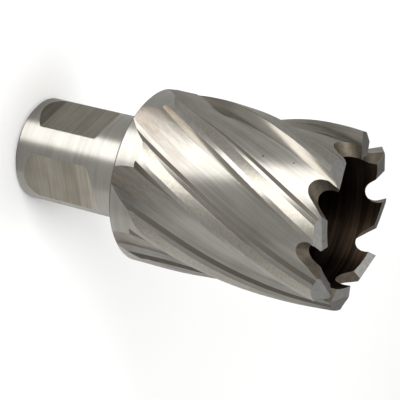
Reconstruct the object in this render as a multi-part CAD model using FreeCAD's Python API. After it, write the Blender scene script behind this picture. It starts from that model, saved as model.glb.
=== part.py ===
import FreeCAD, Part
import math
import os

os.makedirs("parts", exist_ok=True)

# An annular cutter for magnetic drills, ground from one bar of high-speed steel.
# It stands on the end of its shank: the axis is Z, and the teeth are at the top.

# Shank, three quarters of an inch, with two Weldon flats a quarter turn apart
SHANK_D = 19.05
SHANK_LENGTH = 24.3
SHANK_CHAMFER = 0.5
FLAT_DEPTH = 1.2
FLAT_START = 3.7
FLAT_END = 15.3
FLAT_RAMP_ANGLE = 35.0
FLAT_ANGLES = (0.0, -90.0)

# Fluted body with its core cavity, whose floor lies this far above the shoulder,
# and the hole for the pilot pin
CUTTER_D = 31.75
BODY_LENGTH = 40.1
BODY_CHAMFER = 0.4
CORE_D = 23.2
CORE_FLOOR = 4.7
PILOT_D = 6.4
PILOT_CHAMFER = 0.4
# The turned surfaces close on a line between the flats
SEAM_ANGLE = -150.0

# Teeth, counted from the one whose outer corner stands at the first angle,
# this far below the highest crest
TOOTH_COUNT = 8
FIRST_TOOTH_ANGLE = 24.9
CORNER_DROP = 1.5
FLUTE_LEAD = 180.0

# Flute section, as angles ahead of the leading edge and depths below the outside:
# its two walls turn by so many degrees for each millimetre of depth
WALL_STEP_SHARE = 0.35
WALL_STEP_TURN = 0.94
ROOT_ANGLE = 4.3
MIDDLE_ANGLE = 14.4
BACK_ANGLE = 24.6
BACK_WALL_TURN = 4.0
FULL_DEPTHS = (2.1, 2.12, 2.1)

# Rear run-out of the flute: height above the shoulder, then depths at root, middle
# and back wall
RUNOUT = (
    (-2.3, -2.0, -1.0, -1.1),
    (0.0, -0.98, -0.02, -0.08),
    (1.2, -0.62, 0.2, 0.45),
    (2.7, -0.24, 0.5, 1.0),
    (4.7, 0.12, 0.88, 1.45),
    (6.7, 0.64, 1.35, 1.8),
    (8.7, 1.22, 1.75, 2.0),
    (10.7, 1.8, 2.03, 2.08),
)
FULL_FLUTE_START = 12.7
FLUTE_STATION_STEP = 3.0

# Land behind the narrow margin: its relief dips in between two heights above the shoulder
MARGIN_ANGLE = 3.4
LAND_ANGLE = 14.0
LAND_FALL = 0.475
LAND_OVERLAP = 1.5
LAND_START = 3.7
LAND_START_LIFT = 0.6
LAND_FULL = 6.7

# Gullet through the wall: its section lies across a pass that climbs and swings ahead
# on its way in to the bore, and is measured from the crest of the tooth
CREST_INSET = 2.275
CREST_ANGLE = 6.5
GULLET_RISE_ANGLE = 31.2
GULLET_SWING_ANGLE = 16.7
GULLET_ROOT_R = 2.1
GULLET_DEPTH = 4.5
GULLET_RAKE_ANGLE = 29.3
GULLET_BACK_ANGLE = 51.4

# End faces, on pointed and flat teeth in turn: how far the crest lies below the highest,
# its angle ahead of the outer corner, and the falls outward and inward
CLEARANCE_ANGLE = 10.0
FACE_ANGLE = -3.0
FACE_AHEAD = 1.5
FACE_BEHIND = 7.0
POINTED_TOOTH = (0.0, 6.5, 30.8, 20.3)
FLAT_TOOTH = (0.55, 5.0, 13.7, -4.0)

# Reach of the cutting tools beyond the metal
OVERSHOOT = 3.0

shank_r = SHANK_D / 2
cutter_r = CUTTER_D / 2
core_r = CORE_D / 2
crest_r = cutter_r - CREST_INSET
total_length = SHANK_LENGTH + BODY_LENGTH
corner_height = total_length - CORNER_DROP
tooth_pitch = 360 / TOOTH_COUNT
turn_per_mm = 360 / FLUTE_LEAD
tool_r = cutter_r + OVERSHOOT
tool_top = total_length + OVERSHOOT
axis = FreeCAD.Vector(0, 0, 1)
centre = FreeCAD.Vector(0, 0, 0)


def polar(radius, angle, height):
    """Point at a radius, an angle in degrees and a height."""
    turn = math.radians(angle)
    return FreeCAD.Vector(radius * math.cos(turn), radius * math.sin(turn), height)


def polygon_face(points):
    """Flat face inside a closed outline of straight lines."""
    return Part.Face(Part.makePolygon(points + points[:1]))


def turned(shape, angle):
    """Copy of a shape, turned about the axis."""
    copy = shape.copy()
    copy.rotate(centre, axis, angle)
    return copy


def blank():
    """Shank, shoulder and body turned in one piece, hollow at the cutting end."""
    core_floor = SHANK_LENGTH + CORE_FLOOR
    profile = [
        (PILOT_D / 2 + PILOT_CHAMFER, 0),
        (shank_r - SHANK_CHAMFER, 0),
        (shank_r, SHANK_CHAMFER),
        (shank_r, SHANK_LENGTH),
        (cutter_r - BODY_CHAMFER, SHANK_LENGTH),
        (cutter_r, SHANK_LENGTH + BODY_CHAMFER),
        (cutter_r, total_length),
        (core_r, total_length),
        (core_r, core_floor),
        (PILOT_D / 2, core_floor),
        (PILOT_D / 2, PILOT_CHAMFER),
    ]
    points = [FreeCAD.Vector(radius, 0, height) for radius, height in profile]
    return turned(polygon_face(points).revolve(centre, axis, 360), SEAM_ANGLE)


def weldon_flat(angle):
    """Cutter for one flat, with a ramp at each end."""
    floor_x = shank_r - FLAT_DEPTH
    ramp = OVERSHOOT / math.tan(math.radians(FLAT_RAMP_ANGLE))
    outline = [
        (floor_x, FLAT_START),
        (floor_x, FLAT_END),
        (floor_x + OVERSHOOT, FLAT_END + ramp),
        (floor_x + OVERSHOOT, FLAT_START - ramp),
    ]
    points = [FreeCAD.Vector(x, -shank_r, z) for x, z in outline]
    return turned(polygon_face(points).extrude(FreeCAD.Vector(0, SHANK_D, 0)), angle)


def lead_angle(height):
    """Angle of the first tooth's leading edge at a height."""
    return FIRST_TOOTH_ANGLE + turn_per_mm * (height - corner_height)


def stations(start):
    """Evenly spaced heights from a start to above the teeth."""
    steps = math.ceil((tool_top - start) / FLUTE_STATION_STEP)
    return [start + index * FLUTE_STATION_STEP for index in range(steps + 1)]


def flute_section(height, root_depth, middle_depth, back_depth):
    """Outline of the flute cutter at one height."""
    start = lead_angle(height)
    step_depth = WALL_STEP_SHARE * root_depth
    front_top = polar(tool_r, start - WALL_STEP_TURN * OVERSHOOT, height)
    step = polar(cutter_r - step_depth, start + WALL_STEP_TURN * step_depth, height)
    root = polar(cutter_r - root_depth, start + ROOT_ANGLE, height)
    middle = polar(cutter_r - middle_depth, start + MIDDLE_ANGLE, height)
    back = polar(cutter_r - back_depth, start + BACK_ANGLE, height)
    back_turn = BACK_WALL_TURN * (OVERSHOOT + back_depth)
    back_top = polar(tool_r, start + BACK_ANGLE + back_turn, height)
    return Part.Wire([
        Part.makeLine(front_top, step),
        Part.makeLine(step, root),
        Part.Arc(root, middle, back).toShape(),
        Part.makeLine(back, back_top),
        Part.makeLine(back_top, front_top),
    ])


def flute():
    """Cutter for the helical flute ahead of the first tooth."""
    sections = [flute_section(SHANK_LENGTH + rise, *depths) for rise, *depths in RUNOUT]
    for height in stations(SHANK_LENGTH + FULL_FLUTE_START):
        sections.append(flute_section(height, *FULL_DEPTHS))
    return Part.makeLoft(sections, True, False)


def land_section(height, lift):
    """Outline of the relief cutter for the first tooth's land at one height."""
    start = lead_angle(height)
    margin_r = cutter_r + lift
    fall_per_degree = LAND_FALL / (LAND_ANGLE - MARGIN_ANGLE)
    behind = [
        MARGIN_ANGLE - LAND_OVERLAP,
        (MARGIN_ANGLE + LAND_ANGLE) / 2,
        LAND_ANGLE + LAND_OVERLAP,
    ]
    surface = [
        polar(margin_r - fall_per_degree * (angle - MARGIN_ANGLE), start - angle, height)
        for angle in behind
    ]
    outer_front = polar(tool_r, start - behind[0], height)
    outer_back = polar(tool_r, start - behind[-1], height)
    return Part.Wire([
        Part.makeLine(outer_front, surface[0]),
        Part.Arc(*surface).toShape(),
        Part.makeLine(surface[-1], outer_back),
        Part.makeLine(outer_back, outer_front),
    ])


def land_relief():
    """Cutter for the relieved land of the first tooth, which dips in behind the collar."""
    sections = [land_section(SHANK_LENGTH + LAND_START, LAND_START_LIFT)]
    for height in stations(SHANK_LENGTH + LAND_FULL):
        sections.append(land_section(height, 0))
    return Part.makeLoft(sections, True, False)


def gullet():
    """Cutter for the gullet ahead of the first tooth, a straight pass with a round root."""
    rake = math.radians(GULLET_RAKE_ANGLE)
    back = math.radians(GULLET_BACK_ANGLE)
    rake_normal = FreeCAD.Vector(0, math.cos(rake), -math.sin(rake))
    back_normal = FreeCAD.Vector(0, -math.cos(back), math.sin(back))
    # The round root touches the line of the rake face, which runs through the crest
    root_z = GULLET_ROOT_R - GULLET_DEPTH
    root_y = (GULLET_ROOT_R - rake_normal.z * root_z) / rake_normal.y
    root = FreeCAD.Vector(0, root_y, root_z)
    bottom = FreeCAD.Vector(0, root_y, -GULLET_DEPTH)
    rake_foot = root - rake_normal * GULLET_ROOT_R
    back_foot = root - back_normal * GULLET_ROOT_R
    top = 2 * OVERSHOOT
    rake_top = FreeCAD.Vector(0, top * math.tan(rake), top)
    back_top = back_foot + FreeCAD.Vector(0, math.tan(back), 1) * (top - back_foot.z)
    outline = Part.Wire([
        Part.makeLine(rake_top, rake_foot),
        Part.Arc(rake_foot, bottom, back_foot).toShape(),
        Part.makeLine(back_foot, back_top),
        Part.makeLine(back_top, rake_top),
    ])
    reach = crest_r - core_r + 2 * OVERSHOOT
    cutter = Part.Face(outline).extrude(FreeCAD.Vector(-reach, 0, 0))
    cutter.translate(FreeCAD.Vector(OVERSHOOT, 0, 0))
    cutter.rotate(centre, FreeCAD.Vector(0, 1, 0), GULLET_RISE_ANGLE)
    cutter.rotate(centre, axis, -GULLET_SWING_ANGLE)
    cutter.translate(FreeCAD.Vector(crest_r, 0, total_length))
    return turned(cutter, FIRST_TOOTH_ANGLE + CREST_ANGLE)


def end_face(crest_drop, crest_angle, outward_fall, inward_fall):
    """Cutter above the end of the first tooth, with its clearance behind the edge."""
    crest_height = total_length - crest_drop
    ahead = math.radians(crest_angle - FACE_ANGLE)
    crest_x = crest_r * math.cos(ahead)
    crest_y = crest_r * math.sin(ahead)
    clearance = math.tan(math.radians(CLEARANCE_ANGLE))
    outer_x = tool_r
    inner_x = core_r - OVERSHOOT
    outer_z = crest_height - (outer_x - crest_x) * math.tan(math.radians(outward_fall))
    inner_z = crest_height - (crest_x - inner_x) * math.tan(math.radians(inward_fall))
    outline = [
        (outer_x, outer_z),
        (outer_x, tool_top),
        (inner_x, tool_top),
        (inner_x, inner_z),
        (crest_x, crest_height),
    ]
    points = [FreeCAD.Vector(x, crest_y, z) for x, z in outline]
    face = polygon_face(points)
    face.translate(FreeCAD.Vector(0, FACE_AHEAD, FACE_AHEAD * clearance))
    sweep = FACE_AHEAD + FACE_BEHIND
    cutter = face.extrude(FreeCAD.Vector(0, -sweep, -sweep * clearance))
    return turned(cutter, FIRST_TOOTH_ANGLE + FACE_ANGLE)


def annular_cutter():
    """The whole cutter, cut from the blank."""
    cutters = [weldon_flat(angle) for angle in FLAT_ANGLES]
    per_tooth = [flute(), land_relief(), gullet()]
    pointed = end_face(*POINTED_TOOTH)
    flat = end_face(*FLAT_TOOTH)
    for index in range(TOOTH_COUNT):
        shapes = per_tooth + [flat if index % 2 else pointed]
        cutters += [turned(shape, index * tooth_pitch) for shape in shapes]
    body = blank()
    for cutter in cutters:
        body = body.cut(cutter)
    return body.removeSplitter()


cutter = annular_cutter()
cutter.exportStep("parts/cutter.step")
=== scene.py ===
import math

import bpy
import numpy as np
from mathutils import Matrix, Vector

MM = 0.001

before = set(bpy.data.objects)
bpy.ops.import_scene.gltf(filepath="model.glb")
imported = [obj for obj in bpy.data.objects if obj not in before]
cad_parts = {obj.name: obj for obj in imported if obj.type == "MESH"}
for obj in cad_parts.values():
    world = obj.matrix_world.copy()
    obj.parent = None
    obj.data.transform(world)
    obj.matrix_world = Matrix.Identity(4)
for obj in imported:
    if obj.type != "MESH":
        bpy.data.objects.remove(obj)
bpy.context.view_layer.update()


# The tool stands on its shank, and the camera is rolled to see it as the photograph does

CAMERA_PLACE = Vector((182.82, -146.50, 147.59)) * MM
CAMERA_RIGHT = Vector((-0.48006, 0.08014, 0.87356))
CAMERA_UP = Vector((-0.53326, -0.81739, -0.21799))
SENSOR_WIDTH = 36.0
FOCAL_LENGTH = 131.36
NEAREST_SEEN = 10.0


def make_camera():
    lens = bpy.data.cameras.new("camera")
    lens.sensor_width = SENSOR_WIDTH
    lens.lens = FOCAL_LENGTH
    lens.clip_start = NEAREST_SEEN * MM
    camera = bpy.data.objects.new("camera", lens)
    back = CAMERA_RIGHT.cross(CAMERA_UP)
    turn = Matrix((CAMERA_RIGHT, CAMERA_UP, back)).transposed().to_4x4()
    camera.matrix_world = Matrix.Translation(CAMERA_PLACE) @ turn
    bpy.context.scene.collection.objects.link(camera)
    bpy.context.scene.camera = camera


make_camera()


# Sizes of the tool that its finishes follow, in mm and degrees

SHANK_TOP = 24.3
TOOTH_FOOT = 59.0
CORE_R = 11.6
OUTSIDE_R = 15.875
TOOTH_PITCH = 45.0
# The leading edges climb ahead along a helix, by degrees per mm of height
HELIX_TURN = 2.0
# One of them passes 24.9 degrees at height 62.9, and would start here at the shank's end
FIRST_EDGE = 24.9 - HELIX_TURN * 62.9

# The grinding wheel leaves a flute round: its rake wall turns into the floor, and the floor
# rises to a narrow back wall. Angles are counted ahead of the leading edge. A slope is the
# rise of the surface over the way ahead, as far as it shows in what the steel mirrors.

RAKE_FOOT = 4.3
RAKE_SLOPE = -0.57
FLOOR_START = 4.0
FLOOR_SLOPE = -0.14
FILLET_SLOPE = -0.02
WALL_MIDDLE = 30.2
WALL_HALF = 1.35
WALL_FADE = 0.35
WALL_SLOPE = 0.3
# The back wall lies in the shade of the flute: dark and dull
WALL_COLOUR = "#67625B"
WALL_DULLING = 0.35
# Between these heights the wheel came down into the steel, and the floor leans ahead there
RUNOUT_START = 26.0
RUNOUT_END = 36.0
RUNOUT_LEAN = -0.25
UP = (0.0, 0.0, 1.0)
LEVEL = (1.0, 1.0, 0.0)
# A flute moves ahead 0.49 mm for each mm that it climbs, so the way straight across it falls
# by as much for each mm ahead
ACROSS_FALL = (0.0, 0.0, 0.49)


# Node building

# The Mix node's sockets for colours go by number, because others bear the same names
SHARE, FIRST, SECOND, MIXED = 0, 6, 7, 2


def linear(colour):
    """The linear colour of an sRGB hex value."""
    channels = [int(colour[i:i + 2], 16) / 255 for i in (1, 3, 5)]
    return [c / 12.92 if c <= 0.04045 else ((c + 0.055) / 1.055) ** 2.4 for c in channels] + [1.0]


def add(tree, kind, inputs=None, **settings):
    """Adds a node and gives back its outputs; an input is a value or another output."""
    node = tree.nodes.new("ShaderNode" + kind)
    for name, value in settings.items():
        setattr(node, name, value)
    for name, value in (inputs or {}).items():
        if isinstance(value, bpy.types.NodeSocket):
            tree.links.new(value, node.inputs[name])
        else:
            node.inputs[name].default_value = value
    return node.outputs


def blank_material(name):
    material = bpy.data.materials.new(name)
    material.use_nodes = True
    material.node_tree.nodes.clear()
    return material, material.node_tree


# Where a point lies on the tool, and how the flute turns there

def untwisted(tree, place):
    """The place with the helix turned straight, so that the flutes run along Z."""
    turn = add(tree, "Math", {
        0: add(tree, "SeparateXYZ", {0: place})["Z"],
        1: -math.radians(HELIX_TURN),
        2: -math.radians(FIRST_EDGE),
    }, operation="MULTIPLY_ADD")[0]
    return add(tree, "VectorRotate", {"Vector": place, "Angle": turn}, rotation_type="Z_AXIS")[0]


def angle_ahead(tree, place):
    """Degrees ahead of the nearest leading edge behind the point."""
    part = add(tree, "SeparateXYZ", {0: untwisted(tree, place)})
    angle = add(tree, "Math", {0: part["Y"], 1: part["X"]}, operation="ARCTAN2")[0]
    pitch = math.radians(TOOTH_PITCH)
    angle = add(tree, "Math", {0: angle, 1: pitch}, operation="FLOORED_MODULO")[0]
    return add(tree, "Math", {0: angle}, operation="DEGREES")[0]


def back_wall(tree, ahead):
    """1 on the narrow back wall, 0 on the floor and the land beside it."""
    off = add(tree, "Math", {0: ahead, 1: WALL_MIDDLE}, operation="SUBTRACT")[0]
    return add(tree, "MapRange", {
        "Value": add(tree, "Math", {0: off}, operation="ABSOLUTE")[0],
        "From Min": WALL_HALF,
        "From Max": WALL_HALF + WALL_FADE,
        "To Min": 1.0,
        "To Max": 0.0,
    })[0]


def flute_normal(tree, place, ahead, wall):
    """The normal of the flute's rounded form, from its slopes at this angle and height."""
    slope = add(tree, "MapRange", {
        "Value": ahead,
        "From Min": FLOOR_START,
        "From Max": WALL_MIDDLE - WALL_HALF,
        "To Min": FLOOR_SLOPE,
        "To Max": FILLET_SLOPE,
    })[0]
    rise = add(tree, "Math", {0: wall, 1: WALL_SLOPE - FILLET_SLOPE}, operation="MULTIPLY")[0]
    runout = add(tree, "MapRange", {
        "Value": add(tree, "SeparateXYZ", {0: place})["Z"],
        "From Min": RUNOUT_START,
        "From Max": RUNOUT_END,
        "To Min": RUNOUT_LEAN,
        "To Max": 0.0,
    })[0]
    rake = add(tree, "MapRange", {
        "Value": ahead,
        "From Min": 0.0,
        "From Max": RAKE_FOOT,
        "To Min": RAKE_SLOPE,
        "To Max": 0.0,
    })[0]
    for part in (rise, runout, rake):
        slope = add(tree, "Math", {0: slope, 1: part}, operation="ADD")[0]

    # The normal points out from the axis, and leans back across the flute by the slope
    out = add(tree, "VectorMath", {0: place, 1: LEVEL}, operation="MULTIPLY")[0]
    out = add(tree, "VectorMath", {0: out}, operation="NORMALIZE")[0]
    onward = add(tree, "VectorMath", {0: UP, 1: out}, operation="CROSS_PRODUCT")[0]
    across = add(tree, "VectorMath", {0: onward, 1: ACROSS_FALL}, operation="SUBTRACT")[0]
    lean = add(tree, "VectorMath", {0: across, "Scale": slope}, operation="SCALE")[0]
    normal = add(tree, "VectorMath", {0: out, 1: lean}, operation="SUBTRACT")[0]
    return add(tree, "VectorMath", {0: normal}, operation="NORMALIZE")[0]


# Ground steel. The wheel leaves parallel lines, and the light spreads out across them. Real
# lines are some 0.02 mm apart, too fine to show, so they are drawn about ten times as coarse.
# Lengths are in mm.

# The noise is squeezed along the lay, which draws it out into lines
LINE_SQUEEZE = {
    "round": (0.03, 0.03, 1.0),
    "helix": (1.0, 1.0, 0.03),
    "across": (0.04, 0.04, 1.0),
    "even": (1.0, 1.0, 1.0),
}
LINE_HEIGHT = 0.01
LINE_NOISE = (0.3, 0.7)
ROUGHNESS_VARIES = 0.05
# Lines four times as broad, and soft clouds, make some of the steel a little darker
BROADER = 4
CLOUD_MM = 4.0
CLOUD_SHARE = 0.35
TONE_NOISE = (0.85, 1.5)
# A real edge is never quite sharp, and its small radius catches the light
EDGE_ROUNDING = 0.12

# Small dark pits that use has left on a flute and on a tooth's end: place and radius
PIT_COLOUR = "#5A534A"
FLUTE_PITS = (((4.56, -12.98, 49.38), 0.24), ((4.54, -12.98, 55.09), 0.21))
END_PITS = (((12.51, -6.19, 63.26), 0.16), ((11.96, -4.52, 63.66), 0.2))


def drawn_lines(tree, place, lay, line_mm):
    """The noise of the lines, and the tone from dark to light that they make."""
    where = untwisted(tree, place) if lay == "helix" else place
    where = add(tree, "VectorMath", {0: where, 1: LINE_SQUEEZE[lay]}, operation="MULTIPLY")[0]
    lines = add(tree, "TexNoise", {
        "Vector": where, "Scale": 1 / line_mm, "Detail": 4.0, "Roughness": 0.6,
    })["Fac"]
    broad = add(tree, "TexNoise", {
        "Vector": where, "Scale": 1 / (BROADER * line_mm), "Detail": 2.0,
    })["Fac"]
    clouds = add(tree, "TexNoise", {
        "Vector": place, "Scale": 1 / CLOUD_MM, "Detail": 1.0,
    })["Fac"]
    both = add(tree, "Math", {0: lines, 1: broad}, operation="ADD")[0]
    tone = add(tree, "MapRange", {
        "Value": add(tree, "Math", {
            0: clouds, 1: CLOUD_SHARE, 2: both,
        }, operation="MULTIPLY_ADD")[0],
        "From Min": TONE_NOISE[0],
        "From Max": TONE_NOISE[1],
    }, interpolation_type="SMOOTHSTEP")[0]
    return lines, tone


def shaded_below(tree, tint, place, tone, full, end):
    """The tint darkened by painted shade that is full up to one height and gone at another."""
    share = add(tree, "MapRange", {
        "Value": add(tree, "SeparateXYZ", {0: place})["Z"],
        "From Min": full,
        "From Max": end,
        "To Min": 1.0,
        "To Max": 0.0,
    })[0]
    return add(tree, "Mix", {
        SHARE: share, FIRST: tint, SECOND: linear(tone),
    }, data_type="RGBA", blend_type="MULTIPLY")[MIXED]


def pitted(tree, tint, place, spot, radius):
    """The tint with one pit."""
    off = add(tree, "VectorMath", {0: place, 1: spot}, operation="DISTANCE")["Value"]
    clear = add(tree, "MapRange", {
        "Value": off, "From Min": 0.5 * radius, "From Max": radius,
    })[0]
    return add(tree, "Mix", {
        SHARE: clear, FIRST: linear(PIT_COLOUR), SECOND: tint,
    }, data_type="RGBA")[MIXED]


def ground_steel(
    name, colour, dark, roughness, lay,
    spread=1.0, line_mm=0.25, line_depth=0.25, rear_shade=None, pits=(),
):
    """Steel with lines along the lay.

    The glare draws out by the spread. The rear tone is painted shade: its colour, the height up
    to which it is full, and the height where it is gone.
    """
    material, tree = blank_material(name)
    place = add(tree, "NewGeometry")["Position"]
    place = add(tree, "VectorMath", {0: place, "Scale": 1 / MM}, operation="SCALE")[0]
    lines, tone = drawn_lines(tree, place, lay, line_mm)
    tint = add(tree, "Mix", {
        SHARE: tone, FIRST: linear(dark), SECOND: linear(colour),
    }, data_type="RGBA")[MIXED]
    rough = add(tree, "MapRange", {
        "Value": lines,
        "From Min": LINE_NOISE[0],
        "From Max": LINE_NOISE[1],
        "To Min": roughness - ROUGHNESS_VARIES,
        "To Max": roughness + ROUGHNESS_VARIES,
    })[0]
    glare = spread
    if lay == "helix":
        ahead = angle_ahead(tree, place)
        wall = back_wall(tree, ahead)
        normal = flute_normal(tree, place, ahead, wall)
        tint = add(tree, "Mix", {
            SHARE: wall, FIRST: tint, SECOND: linear(WALL_COLOUR),
        }, data_type="RGBA")[MIXED]
        rough = add(tree, "Math", {
            0: wall, 1: WALL_DULLING, 2: rough,
        }, operation="MULTIPLY_ADD")[0]
        glare = add(tree, "Math", {0: spread, 1: wall}, operation="SUBTRACT")[0]
    else:
        normal = add(tree, "Bevel", {"Radius": EDGE_ROUNDING * MM}, samples=4)[0]
    # Painted shade that darkens the steel towards the rear
    if rear_shade:
        tint = shaded_below(tree, tint, place, *rear_shade)
    for pit in pits:
        tint = pitted(tree, tint, place, *pit)
    steel = {
        "Base Color": tint,
        "Metallic": 1.0,
        "Roughness": rough,
        "Anisotropic": glare,
        "Normal": add(tree, "Bump", {
            "Height": lines,
            "Strength": line_depth,
            "Distance": LINE_HEIGHT * MM,
            "Normal": normal,
        })[0],
    }
    if spread:
        # The glare spreads out along the tool's axis
        steel["Tangent"] = add(tree, "CombineXYZ", {"Z": 1.0})[0]
    add(tree, "OutputMaterial", {"Surface": add(tree, "BsdfPrincipled", steel)[0]})
    return material


# The tool is high-speed steel all over, and each finish differs by how it was cut

FINISHES = {
    # Ground while it turned: fine rings, and one soft bright band along the shank
    "shank": ground_steel(
        "cylinder_ground_steel_shank", "#A9A6A0", "#9A9791", 0.42, "round",
    ),
    # Turned: a thin, dull line round each rim, painted darker as the shade in the step between
    # shank and body
    "edge": ground_steel(
        "turned_steel_chamfer_painted_shade", "#615E59", "#53504C", 0.4, "round",
    ),
    # Milled across the shank: coarse lines on a browner face
    "flat": ground_steel(
        "milled_steel_shank_flat", "#A8A297", "#8A8478", 0.45, "across",
        line_mm=0.4, line_depth=0.5,
    ),
    # Ground with the same wheel as the shank: the same rings and bright band
    "collar": ground_steel(
        "cylinder_ground_steel_collar", "#A8A59F", "#9B9892", 0.42, "round",
    ),
    # A wheel ran along the helix: long lines with glare across them, and painted shade that
    # darkens the rear, where the wheel ran out
    "flute": ground_steel(
        "wheel_ground_steel_flute", "#AEABA5", "#97938C", 0.45, "helix",
        line_mm=0.2, rear_shade=("#DCD6D0", 27.0, 37.0), pits=FLUTE_PITS,
    ),
    # The same pass of the wheel: the flute's lines go on up the wall
    "back wall": ground_steel(
        "wheel_ground_steel_back_wall", "#AEABA5", "#97938C", 0.45, "helix",
        line_mm=0.2,
    ),
    # Ground by the wheel's side: a warm tan that picks up the floor's glare at its foot, with
    # painted shade that darkens its rear
    "rake wall": ground_steel(
        "wheel_ground_steel_rake_wall", "#A19C93", "#8E897F", 0.45, "helix",
        line_mm=0.2, rear_shade=("#C6BFB6", 30.0, 42.0),
    ),
    # Relieved with a coarser wheel: a fine satin grain without lines
    "land": ground_steel(
        "matte_ground_steel_land", "#A9A49B", "#969188", 0.5, "even", 0.9,
        line_mm=0.12, line_depth=0.5,
    ),
    # Sharpened on the side of a wheel: plain matt grey, cooler than the rest
    "end": ground_steel(
        "matte_ground_steel_tooth_end", "#848380", "#73726F", 0.5, "even", 0.0,
        line_mm=0.2, pits=END_PITS,
    ),
    # Milled between the teeth before hardening: rough, and brown from the heat
    "gullet": ground_steel(
        "milled_steel_gullet", "#6B6459", "#575046", 0.65, "even", 0.0,
    ),
    # Turned rings. Its dark brown is painted shade, and more painted shade takes it near black
    # further in
    "bore": ground_steel(
        "turned_steel_bore_painted_shade", "#45382D", "#211A14", 0.5, "round", 0.5,
        line_mm=0.5, rear_shade=("#303030", 48.0, 60.0),
    ),
}


# Which finish each face of the tool takes

# Sizes that tell what a patch is, in mm
CLOSE = 0.05
# A chamfer is lower than this
CHAMFER_HEIGHT = 0.6
# A land lies less than this inside the tool's outside
LAND_RELIEF = 0.6
# The shank's patches end less than this over its top
SHOULDER = 0.5
# Its flats lie between these heights
FLATS = (1.0, 19.3)
# Parts of its mean normal that tell it too, where 1 is all of it
INWARD = -0.5
UPWARD = 0.8
SLANTED = (0.1, 0.9)


def finish_of(normal, radii, heights):
    """The finish of one patch of the tool, from its mean normal and its reach in mm."""
    outward, ahead, upward = normal
    inner, outer = radii
    bottom, top = heights
    core_floor = outer < CORE_R + CLOSE and bottom > SHANK_TOP
    if core_floor or outward < INWARD:
        return "bore"
    if bottom > TOOTH_FOOT:
        return "end" if upward > UPWARD else "gullet"
    if top - bottom < CHAMFER_HEIGHT and SLANTED[0] < outward < SLANTED[1]:
        return "edge"
    if top < SHANK_TOP + SHOULDER:
        return "flat" if FLATS[0] < bottom and top < FLATS[1] else "shank"
    if inner > OUTSIDE_R - CLOSE:
        return "collar"
    if inner > OUTSIDE_R - LAND_RELIEF:
        return "land"
    if outward > SLANTED[1]:
        return "flute"
    return "rake wall" if ahead > 0 else "back wall"


def patches(mesh):
    """Lists of the faces that hang together, one for each smooth face of the tool."""
    leader = list(range(len(mesh.vertices)))

    def lead(vertex):
        while leader[vertex] != vertex:
            leader[vertex] = leader[leader[vertex]]
            vertex = leader[vertex]
        return vertex

    for edge in mesh.edges:
        leader[lead(edge.vertices[0])] = lead(edge.vertices[1])
    found = {}
    for face in mesh.polygons:
        found.setdefault(lead(face.vertices[0]), []).append(face)
    return found.values()


def measured(mesh, faces):
    """A patch's mean normal outward, ahead and upward, and its reach in radius and height."""
    centres = np.array([face.center[:2] for face in faces])
    normals = np.array([face.normal for face in faces])
    areas = np.array([face.area for face in faces])
    out = centres / np.hypot(*centres.T)[:, None]
    outward = (normals[:, :2] * out).sum(1)
    ahead = normals[:, 1] * out[:, 0] - normals[:, 0] * out[:, 1]
    normal = [np.average(part, weights=areas) for part in (outward, ahead, normals[:, 2])]
    corners = np.array([mesh.vertices[v].co for face in faces for v in face.vertices]) / MM
    radii = np.hypot(corners[:, 0], corners[:, 1])
    heights = corners[:, 2]
    return normal, (radii.min(), radii.max()), (heights.min(), heights.max())


def dress(tool):
    """Gives each patch of the tool its finish."""
    mesh = tool.data
    mesh.materials.clear()
    order = list(FINISHES)
    for name in order:
        mesh.materials.append(FINISHES[name])
    for faces in patches(mesh):
        slot = order.index(finish_of(*measured(mesh, faces)))
        for face in faces:
            face.material_index = slot


dress(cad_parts["cutter"])


# Floor and light

FLOOR_WIDTH = 6.0
FLOOR_WHITE = "#FCFCFB"
ROOM_GREY = "#484848"
# Azimuth and elevation of each lamp in degrees, its distance, width and height in metres,
# and the brightness of its front
SOFTBOXES = {
    "key": (-65, 18, 0.6, 0.42, 0.36, 12.0),
    "fill": (60, 20, 0.6, 0.9, 0.4, 1.25),
    "overhead": (141, 80, 0.7, 0.8, 0.8, 2.3),
}


def make_floor():
    bpy.ops.mesh.primitive_plane_add(size=FLOOR_WIDTH, location=(0, 0, 0))
    floor = bpy.context.object
    floor.name = "floor"
    material, tree = blank_material("pale_matte_floor")
    matte = add(tree, "BsdfDiffuse", {"Color": linear(FLOOR_WHITE)})[0]
    add(tree, "OutputMaterial", {"Surface": matte})
    floor.data.materials.append(material)


def softbox(name, azimuth, elevation, distance, width, height, brightness):
    """A rectangular lamp that faces the tool."""
    lamp = bpy.data.lights.new(name, "AREA")
    lamp.shape = "RECTANGLE"
    lamp.size = width
    lamp.size_y = height
    lamp.energy = brightness * math.pi * width * height
    box = bpy.data.objects.new(name, lamp)
    turn = math.radians(azimuth)
    rise = math.radians(elevation)
    level = math.cos(rise)
    out = Vector((math.cos(turn) * level, math.sin(turn) * level, math.sin(rise)))
    box.location = out * distance
    box.rotation_euler = out.to_track_quat("Z", "Y").to_euler()
    box.visible_camera = False
    bpy.context.scene.collection.objects.link(box)


def make_light():
    world = bpy.data.worlds.new("studio")
    bpy.context.scene.world = world
    world.use_nodes = True
    room = world.node_tree.nodes["Background"].inputs
    room["Color"].default_value = linear(ROOM_GREY)
    room["Strength"].default_value = 1.0
    for name, measures in SOFTBOXES.items():
        softbox(name, *measures)


make_floor()
make_light()

bpy.context.scene.view_settings.view_transform = "Standard"
